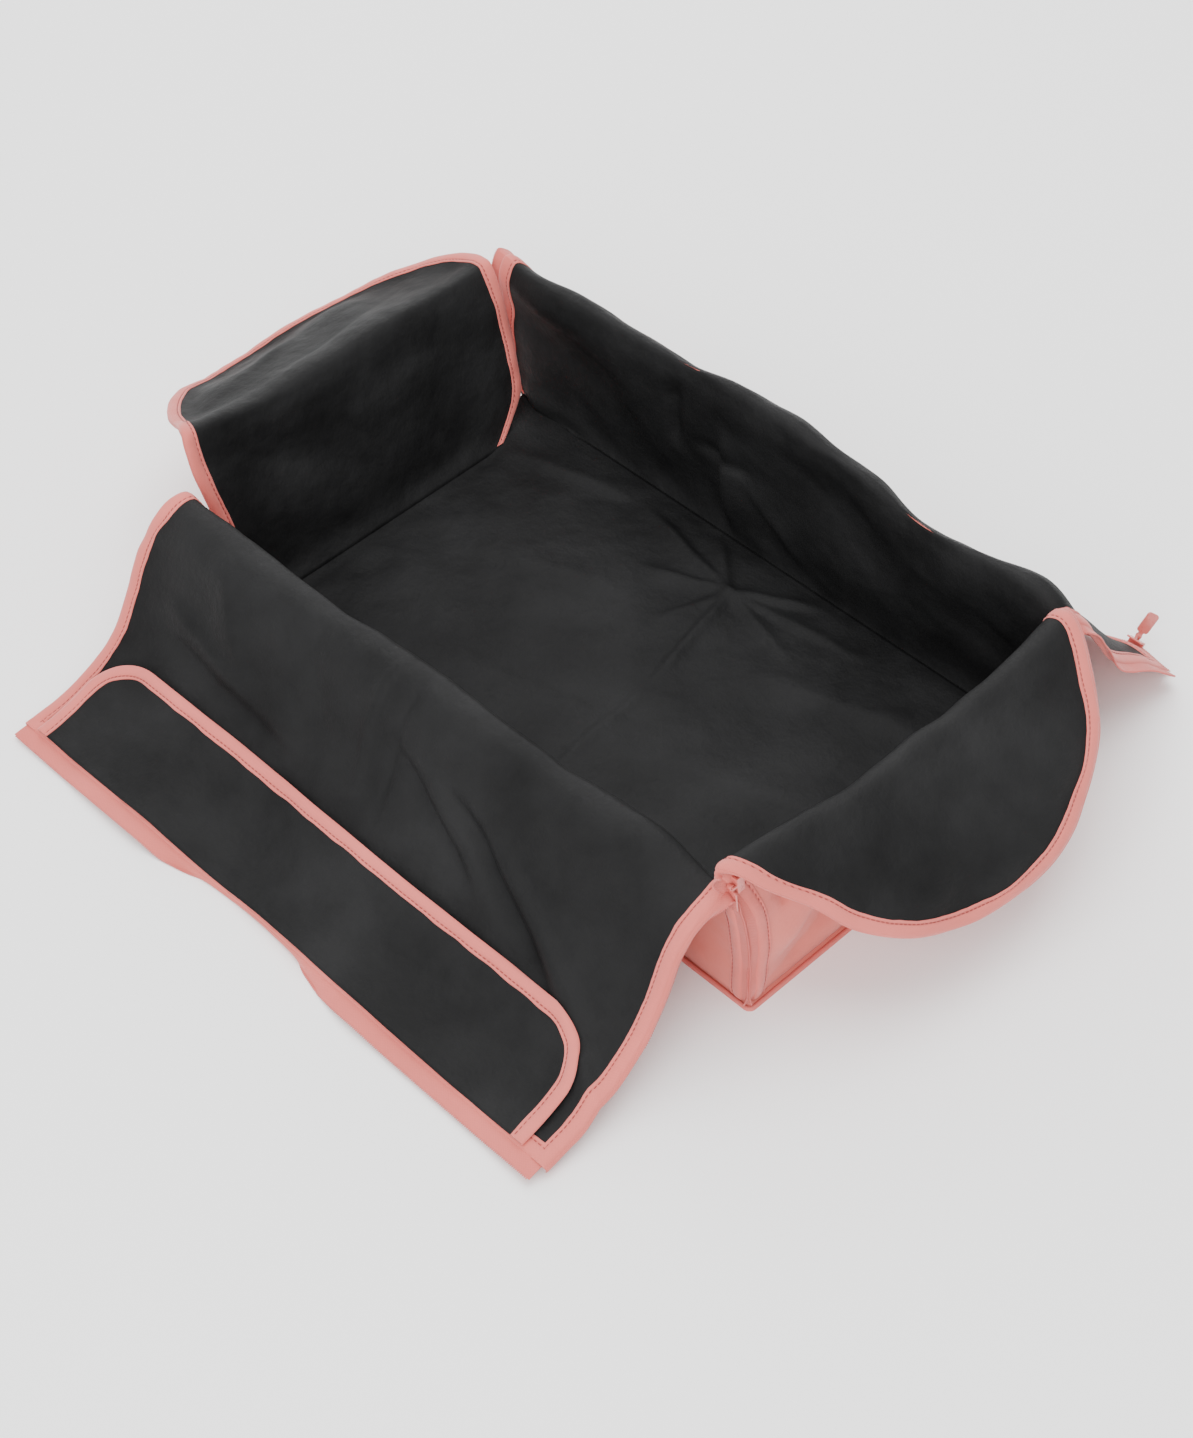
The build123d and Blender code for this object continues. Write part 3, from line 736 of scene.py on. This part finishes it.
def swept(name, panel, edge, outline, finish):
    """An outline of (u, h) pairs, or one for each step, carried along an edge."""
    s = edge.steps()
    here, off = edge.read(s)
    outline = np.broadcast_to(np.asarray(outline, float), (len(s), *np.shape(outline)[-2:]))
    u, h = outline[..., 0], outline[..., 1]
    a, b = here[:, None, 0] + off[:, None, 0] * u, here[:, None, 1] + off[:, None, 1] * u
    points = panel.at(a, b, h)
    rings, around = u.shape
    faces = [
        (r * around + k, r * around + (k + 1) % around,
         (r + 1) * around + (k + 1) % around, (r + 1) * around + k)
        for r in range(rings - 1) for k in range(around)
    ]
    faces += [tuple(range(around))[::-1], tuple((rings - 1) * around + k for k in range(around))]
    mesh = bpy.data.meshes.new(name)
    mesh.from_pydata((points.reshape(-1, 3) * MM).tolist(), [], faces)
    piece = bpy.data.objects.new(name, mesh)
    bpy.context.collection.objects.link(piece)
    girth = np.concatenate([[0], np.cumsum(np.hypot(*np.diff(outline[0], axis=0).T))])
    own_uv(piece, np.repeat(s, around), np.tile(girth, rings))
    tidy(piece, finish)
    return piece


def tidy(piece, finish, angle=42):
    """Normals outwards, edges smooth below the angle, one finish."""
    select_only(piece)
    bpy.ops.object.mode_set(mode="EDIT")
    bpy.ops.mesh.select_all(action="SELECT")
    bpy.ops.mesh.normals_make_consistent(inside=False)
    bpy.ops.object.mode_set(mode="OBJECT")
    bpy.ops.object.shade_smooth_by_angle(angle=math.radians(angle))
    piece.data.materials.append(finish)


def joined(name, pieces):
    bpy.ops.object.select_all(action="DESELECT")
    for piece in pieces:
        piece.select_set(True)
    bpy.context.view_layer.objects.active = pieces[0]
    bpy.ops.object.join()
    pieces[0].name = name
    return pieces[0]


# %% [markdown]
# ## Binding, stitches, tape and teeth
#
# The binding is a folded tape, so it is a little puffed and not quite even: its width and height
# waver along the edge. The zip tape either lies flat or is tucked under, by turning its outline
# through part of a circle. Stitches and teeth are small shapes repeated along the edge.

# %% Binding and tape outlines
BINDING = np.array([
    (-9.4, 0.75), (-9.1, 1.25), (-8.4, 1.5), (-7.6, 1.3), (-7.0, 0.85), (-6.4, 1.3), (-4.8, 1.75),
    (-2.6, 1.85), (-0.6, 1.6), (0.7, 0.95), (LIP, 0.0), (0.7, -1.05), (-0.6, -1.75), (-2.6, -2.0),
    (-4.8, -1.9), (-6.4, -1.55), (-7.0, -1.15), (-7.6, -1.55), (-8.4, -1.7), (-9.1, -1.45),
    (-9.4, -0.95), (-9.1, -0.85), (-0.7, -0.85), (0.0, -0.1), (-0.7, 0.65), (-9.1, 0.65),
])
STITCH_ROW = -7.0  # the groove's place from the cut edge
AGAINST_CLOTH = 0.99  # the outline's points nearer the cloth than this don't puff
print("binding outline of", len(BINDING), "points")


def wavering(edge, seed):
    s = edge.steps()
    outline = np.repeat(BINDING[None], len(s), axis=0)
    sway = ripple(s, 0 * s, 34, 0.35, seed) + ripple(s, 0 * s, 11, 0.12, seed + 1)
    puff = 1 + 0.35 * ripple(s, 0 * s, 22, 0.4, seed + 2)
    inner = smooth_step(-BINDING[:, 0], 0, 9)
    outline[..., 0] += sway[:, None] * inner
    body = np.abs(BINDING[:, 1]) > AGAINST_CLOTH
    outline[..., 1] *= np.where(body, puff[:, None], 1)
    return outline


TUCK_TURN, TUCK_RUN = math.radians(205), 5.2  # a tucked tape turns this far over this much of its width
TAPE_DROP, TAPE_HALF = 0.15, 0.3


def tape_outline(edge, tuck, width):
    """The tape's outline at each step. Tuck is 0 where it lies flat and 1 where it is folded under."""
    s = edge.steps()
    tuck = np.broadcast_to(np.asarray(tuck, float), s.shape)
    runs = np.linspace(0, width + LIP, 8)
    turn = -TUCK_TURN * np.clip(runs / TUCK_RUN, 0, 1)[None] * tuck[:, None]
    gap = np.diff(runs)
    mid = (turn[:, 1:] + turn[:, :-1]) / 2
    u = np.concatenate([0 * tuck[:, None], np.cumsum(np.cos(mid) * gap, axis=1)], axis=1)
    h = np.concatenate([0 * tuck[:, None], np.cumsum(np.sin(mid) * gap, axis=1)], axis=1) - TAPE_DROP
    top = np.stack([u - TAPE_HALF * np.sin(turn), h + TAPE_HALF * np.cos(turn)], axis=-1)
    low = np.stack([u + TAPE_HALF * np.sin(turn), h - TAPE_HALF * np.cos(turn)], axis=-1)
    return np.concatenate([top, low[:, ::-1]], axis=1), (u[:, -1], h[:, -1])


# %% [markdown]
# There are thousands of stitches and teeth, so each is modelled once from a coarse sphere with its
# ends blunted. Separate objects would be slow to join, so the copies are placed as one mesh.

# %% Small repeated shapes
SMALL_SIZES = {"stitch": (2.7, 0.8, 0.6), "tooth": (1.0, 2.3, 1.5)}  # along, across and high
BLUNT = 0.55  # a power below 1 fills out the sphere's ends


def small_shape(kind):
    """A stitch or a tooth as points and a few dozen faces, pointing along x."""
    bpy.ops.object.select_all(action="DESELECT")
    bpy.ops.mesh.primitive_uv_sphere_add(segments=6, ring_count=4, radius=0.5, rotation=(0, math.pi / 2, 0))
    shape = bpy.context.object
    bpy.ops.object.transform_apply(rotation=True)
    points = np.array([v.co for v in shape.data.vertices])
    faces = [tuple(p.vertices) for p in shape.data.polygons]
    bpy.data.objects.remove(shape)
    points[:, 0] = np.sign(points[:, 0]) * np.abs(2 * points[:, 0]) ** BLUNT / 2
    return points * np.array(SMALL_SIZES[kind]), faces


STITCH, TOOTH = small_shape("stitch"), small_shape("tooth")
STITCH_PITCH, TOOTH_PITCH = 3.6, 1.45
print("a stitch has", len(STITCH[1]), "faces")


def repeated(name, panel, edge, shape, pitch, u, h, finish, ends=2.0):
    s = edge.steps(pitch, ends)
    pick = edge.steps()
    u, h = (np.interp(s, pick, np.broadcast_to(v, pick.shape)) for v in (u, h))
    here, off = edge.read(s)

    def spot(du=0.0, dh=0.0):
        return panel.at(here[:, 0] + off[:, 0] * (u + du), here[:, 1] + off[:, 1] * (u + du), h + dh)

    centre = spot()
    across = spot(du=0.5) - spot(du=-0.5)
    rise = spot(dh=0.5) - spot(dh=-0.5)
    along = np.cross(across, rise)
    axes = [along, np.cross(rise, along), rise]
    axes = [v / np.maximum(np.linalg.norm(v, axis=1, keepdims=True), 1e-9) for v in axes]
    points, faces = shape
    placed = centre[:, None] + sum(points[None, :, k, None] * axes[k][:, None] for k in range(3))
    count = len(points)
    all_faces = [tuple(i * count + v for v in f) for i in range(len(s)) for f in faces]
    mesh = bpy.data.meshes.new(name)
    mesh.from_pydata((placed.reshape(-1, 3) * MM).tolist(), [], all_faces)
    piece = bpy.data.objects.new(name, mesh)
    bpy.context.collection.objects.link(piece)
    own_uv(piece, placed[..., 0].ravel(), placed[..., 2].ravel())
    tidy(piece, finish, angle=60)
    return piece


# %% [markdown]
# ## Dressing a panel's edges
#
# Each edge gets its binding with a row of stitches on both faces, and, where it has a zip, the tape
# and its teeth. The pieces of one kind are joined along a panel, as one tape is on the real bag.


# %% Dress an edge
STITCH_RISES = (("in", 1.3), ("out", -1.6))


def bind(name, panel, edges, seed):
    tapes, rows = [], []
    for k, edge in enumerate(edges):
        outline = wavering(edge, seed + 7 * k)
        tapes.append(swept(f"{name}_{k}", panel, edge, outline, binding_cloth))
        for face, rise in STITCH_RISES:
            rows.append(repeated(f"{name}_row_{k}_{face}", panel, edge, STITCH, STITCH_PITCH, STITCH_ROW,
                                 rise, thread_cloth, ends=3.0))
    return joined(f"{name}_binding", tapes), joined(f"{name}_stitches", rows)


def zip_half(name, panel, edges):
    tapes, teeth = [], []
    for k, (edge, tuck, width) in enumerate(edges):
        outline, (u, h) = tape_outline(edge, tuck, width)
        tapes.append(swept(f"{name}_tape_{k}", panel, edge, outline, tape_cloth))
        teeth.append(repeated(f"{name}_teeth_{k}", panel, edge, TOOTH, TOOTH_PITCH, u, h, nylon))
    return joined(f"{name}_tape", tapes), joined(f"{name}_teeth", teeth)


# %% [markdown]
# ## Making the front and rear panels
#
# The lining lies just inside the seam surface and the shell just outside.


def fold(pieces):
    for piece in pieces:
        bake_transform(piece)


LINING_RISE, SHELL_RISE, LINING_THICK, SHELL_THICK = 0.34, -0.42, 0.5, 0.6
SEAM_START = 3.0  # cloth above the base seam, where the bindings begin
CELL_ACROSS, CELL_UP = 3.0, 2.6
RIDGE_INSET = 1.0  # the ridge's trims stop this far inside the side bindings


def both_cloths(name, cells, cut, panel):
    """The lining and the shell of a panel, cut from one pattern and laid back to back."""
    kinds = (("lining", LINING_RISE, LINING_THICK, lining_cloth),
             ("shell", SHELL_RISE, SHELL_THICK, shell_cloth))
    return [cut_sheet(f"{name}_panel_{kind}", cells, cut, panel, rise, thick, finish)
            for kind, rise, thick, finish in kinds]


def long_panel(name, panel, length, left_inset, right_inset, left_start, tucks):
    low, high, end = -HALF + left_inset, HALF - right_inset, length - FLAT_EDGE
    cut = straight_cut(low, high, 0, end)
    cells = (int((high - low) / CELL_ACROSS), int(end / CELL_UP))
    lining, shell = both_cloths(name, cells, cut, panel)
    sides = [Edge([(low, left_start), (low, end + LIP)], off=-1),
             Edge([(high, SEAM_START), (high, end + LIP)], off=1)]
    ridge = Edge([(low + RIDGE_INSET, end), (high - RIDGE_INSET, end)], off=-1)
    binding, stitches = bind(f"{name}_side", panel, sides, seed=50)
    ridge_binding, ridge_stitches = bind(f"{name}_ridge", panel, [ridge], seed=70)
    widths = (TAPE, TAPE, RIDGE_TAPE)
    zipped = [(edge, tuck(edge), width) for edge, tuck, width in zip((*sides, ridge), tucks, widths)]
    tape, teeth = zip_half(f"{name}_zip", panel, zipped)
    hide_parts(f"{name}_wall_lining", f"{name}_flap_lining")
    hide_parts(f"{name}_wall_shell", f"{name}_flap_shell")
    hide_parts(f"{name}_wall_binding", f"{name}_flap_side_binding")
    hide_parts(f"{name}_flap_edge_binding")
    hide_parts(f"{name}_left_zip", f"{name}_right_zip", f"{name}_flap_side_zip_tape",
                f"{name}_flap_edge_zip_tape")
    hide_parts(f"{name}_flap_side_zip_coil", f"{name}_flap_edge_zip_coil")
    pieces = [lining, shell, binding, stitches, ridge_binding, ridge_stitches, tape, teeth]
    fold(pieces)
    print(name, "panel:", len(lining.data.polygons), "faces of lining,", len(teeth.data.polygons), "of teeth")


def flat_tape(edge):
    return 0.0


def tucked_tape(edge):
    return 1.0


def front_right_tuck(edge):
    return 0.6 * smooth_step(edge.read(edge.steps())[0][:, 1], 105, 150)


def front_ridge_tuck(edge):
    return 0.8 * bell(edge.read(edge.steps())[0][:, 0], -20, 58)


long_panel("front", front, FRONT_LENGTH, left_inset=LIP, right_inset=6.5, left_start=SEAM_START,
           tucks=(tucked_tape, front_right_tuck, front_ridge_tuck))
long_panel("rear", rear, REAR_LENGTH, left_inset=FLAT_EDGE, right_inset=FLAT_EDGE, left_start=12.0,
           tucks=(flat_tape,) * 3)

# %% [markdown]
# ## Making the end panels
#
# One edge runs from the base seam up the side, round the arch and down again, so its binding is one
# length of tape. On the left end the zip tape is tucked under all the way. On the right end it is
# tucked at the front and lies flat at the rear.


# %% End panels
def arch_edge(inset, rim):
    turns = np.radians(np.linspace(0, 180, 241))
    half, high = END_HALF - inset, ARCH - inset
    arch = [(-half * math.cos(t), rim + high * math.sin(t)) for t in turns]
    return Edge([(-half, SEAM_START), *arch, (half, SEAM_START)], off=-1, pitch=2.4)


def end_panel(name, panel, inset, rim, tuck):
    cut = arched_cut(inset, rim)
    lining, shell = both_cloths(name, (96, 100), cut, panel)
    edge = arch_edge(inset, rim)
    binding, stitches = bind(name, panel, [edge], seed=90)
    tape, teeth = zip_half(f"{name}_zip", panel, [(edge, tuck(edge), TAPE)])
    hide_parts(f"{name}_wall_lining", f"{name}_flap_lining")
    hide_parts(f"{name}_wall_shell", f"{name}_flap_shell")
    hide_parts(f"{name}_wall_binding", f"{name}_flap_binding")
    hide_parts(f"{name}_wall_zip", f"{name}_flap_zip_tape")
    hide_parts(f"{name}_flap_zip_coil")
    pieces = [lining, shell, binding, stitches, tape, teeth]
    fold(pieces)
    print(name, "panel:", len(lining.data.polygons), "faces of lining,", len(teeth.data.polygons), "of teeth")


def tucked_at_front(edge):
    here, _ = edge.read(edge.steps())
    tucked = np.maximum(smooth_step(-here[:, 0], -60, 60), 0.35)
    return tucked * smooth_step(here[:, 1], RIGHT_RIM - 14, RIGHT_RIM + 14)


end_panel("right_end", right_end, inset=6.0, rim=RIGHT_RIM, tuck=tucked_at_front)
end_panel("left_end", left_end, inset=LIP, rim=LEFT_RIM, tuck=tucked_tape)

# %% [markdown]
# ## Making the floor and the storm flap
#
# The floor's shell is the underside that the bag stands on, so it stays flat, with its lining loose
# above it. The storm flap has no zip. Its binding runs round its three free edges.

# %% Floor
SHELL_HEIGHT = 0.35  # of the underside's mid-surface over the table


def underside(a, b):
    return point(a, b, SHELL_HEIGHT)


# The lining stops at the walls' linings, and goes a little past the base at its open left end.
lining_cut = straight_cut(-254, 248.8, -148.8, 148.8)
shell_cut = straight_cut(-HALF, HALF, -BASE_WIDTH / 2, BASE_WIDTH / 2)
floor_lining = cut_sheet("floor_panel_lining", (200, 120), lining_cut, floor, 0.0, LINING_THICK,
                         lining_cloth)
floor_shell = cut_sheet("floor_panel_shell", (60, 36), shell_cut, Panel(underside, 1), 0.0, SHELL_THICK,
                        shell_cloth)
for piece, node in ((floor_lining, "floor_lining"), (floor_shell, "floor_shell")):
    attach(piece, "bag")
    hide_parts(node)
print("floor lining of", len(floor_lining.data.polygons), "faces")

# %% [markdown]
# The storm flap's edge goes up one side, round two quarter circles and down the other side. Its
# seam with the front flap stays unbound.

# %% Storm flap
storm_lining, storm_shell = both_cloths("storm", (160, 34), storm_cut(LIP), storm)


def storm_edge(inset):
    corner = STORM_CORNER - inset
    left, right, top = STORM_LEFT + inset, STORM_RIGHT - inset, STORM_TOP + inset
    turns = np.radians(np.linspace(0, 90, 25))
    first = [(left + corner * (1 - math.cos(t)), top + corner * (1 - math.sin(t))) for t in turns]
    second = [(right - corner * (1 - math.sin(t)), top + corner * (1 - math.cos(t))) for t in turns]
    return Edge([(left, STORM_SEAM), *first, *second, (right, STORM_SEAM)], off=1, pitch=2.6)


storm_binding, storm_stitches = bind("storm_panel", storm, [storm_edge(LIP)], seed=120)
storm_pieces = [storm_lining, storm_shell, storm_binding, storm_stitches]
for piece, node in zip(storm_pieces, ("storm_flap_lining", "storm_flap_shell", "storm_flap_binding")):
    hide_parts(node)
fold(storm_pieces)

# %% [markdown]
# ## Sliders and pulls
#
# These are cast and enamelled, so every edge is rounded. The CAD part has their true shape with
# sharp edges. A copy of its mesh is merged, its edges are bevelled, and the copy stands for it. The
# main pull is loose on its bail, so it rests a little turned.


# %% Sliders and pulls
SLIDER_EDGE, PULL_EDGE = 0.0003, 0.00035  # radius of the rounded edges
SAME_POINT, SAME_FACE, SHARP = 1e-5, math.radians(2), math.radians(35)


def cast(node, body, radius, turned=None):
    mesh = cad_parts[node].data.copy()
    if turned is not None:
        mesh.transform(turned)
    piece = bpy.data.objects.new(f"{node}_enamelled", mesh)
    bpy.context.collection.objects.link(piece)
    mesh.materials.clear()
    select_only(piece)
    bpy.ops.object.mode_set(mode="EDIT")
    bpy.ops.mesh.select_all(action="SELECT")
    bpy.ops.mesh.remove_doubles(threshold=SAME_POINT)
    bpy.ops.mesh.dissolve_limited(angle_limit=SAME_FACE)
    bpy.ops.mesh.normals_make_consistent(inside=False)
    bpy.ops.object.mode_set(mode="OBJECT")
    bpy.ops.object.modifier_add(type="BEVEL")
    bevel = piece.modifiers[-1]
    bevel.width, bevel.segments, bevel.angle_limit = radius, 3, SHARP
    bpy.ops.object.modifier_apply(modifier=bevel.name)
    bpy.ops.object.shade_smooth_by_angle(angle=math.radians(40))
    mesh.materials.append(enamel)
    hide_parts(node)
    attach(piece, body)
    print(piece.name, len(mesh.polygons), "faces")


# Where the main pull's eye sits in its bail, and the way out from the zip there.
PULL_EYE, PULL_OUT = Vector((0.2264, 0.26708, 0.00978)), Vector((0, 0.6805, 0.7328))
twist = Matrix.Rotation(math.radians(-42), 4, PULL_OUT)
loose = {"main": Matrix.Translation(PULL_EYE) @ twist @ Matrix.Translation(-PULL_EYE)}
for place in ("main", "front_left", "front_right", "rear_left", "rear_right"):
    cast(f"{place}_slider", f"{place}_slider", SLIDER_EDGE)
    cast(f"{place}_pull", f"{place}_pull", PULL_EDGE, loose.get(place))

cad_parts["base_piping"].data.materials.clear()
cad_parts["base_piping"].data.materials.append(cord_cloth)

# %% [markdown]
# ## Table, light and camera
#
# The bag stands on a pale table under soft studio light: one large light overhead, one from the left
# and behind to draw the sheen of the lining, and a wide one from the front that fills the shadows.


# %% Table
TABLE_SIZE, TABLE_TOP = 14.0, -0.0004
bpy.ops.object.select_all(action="DESELECT")
bpy.ops.mesh.primitive_plane_add(size=TABLE_SIZE, location=(0, 0, TABLE_TOP))
table = bpy.context.object
table.name = "table_top"
paper = bpy.data.materials.new("pale_table")
paper.use_nodes = True
paper_shader = paper.node_tree.nodes["Principled BSDF"]
paper_shader.inputs["Base Color"].default_value = (0.96, 0.96, 0.96, 1)
paper_shader.inputs["Roughness"].default_value = 0.8
table.data.materials.append(paper)

# %% Light
def soft_light(name, place, target, size, power):
    bpy.ops.object.light_add(type="AREA", location=place)
    light = bpy.context.object
    light.name = name
    light.data.size, light.data.energy = size, power
    light.rotation_euler = (Vector(target) - Vector(place)).to_track_quat("-Z", "Y").to_euler()


soft_light("overhead_softbox", (-0.2, 0.3, 2.6), target=(0, 0, 0), size=2.6, power=85)
soft_light("rear_left_softbox", (-2.4, 1.6, 1.5), target=(0, 0, 0.1), size=1.8, power=50)
soft_light("front_fill", (1.4, -2.4, 1.8), target=(0, 0, 0.1), size=2.6, power=105)
world = bpy.data.worlds.new("studio")
bpy.context.scene.world = world
world.use_nodes = True
world.node_tree.nodes["Background"].inputs[0].default_value = (1, 1, 1, 1)
world.node_tree.nodes["Background"].inputs[1].default_value = 1.0

# %% [markdown]
# The camera looks down over the near corner from a little under two metres, through a long lens.

# %% Camera
SENSOR_WIDTH = 36
AIM = Vector((0.002, -0.0444, 0.0))
HEADING, ELEVATION, ROLL = math.radians(49.11), math.radians(46.93), math.radians(-3.99)
DISTANCE, LENS = 1.963, 70.83
back = Vector((math.sin(HEADING) * math.cos(ELEVATION), -math.cos(HEADING) * math.cos(ELEVATION),
               math.sin(ELEVATION)))
bpy.ops.object.camera_add(location=AIM + back * DISTANCE)
camera = bpy.context.object
camera.data.lens = LENS
camera.data.sensor_width = SENSOR_WIDTH
camera.rotation_euler = ((-back).to_track_quat("-Z", "Y") @ Quaternion((0, 0, 1), ROLL)).to_euler()
bpy.context.scene.camera = camera
print("camera at", [round(v, 3) for v in camera.location])
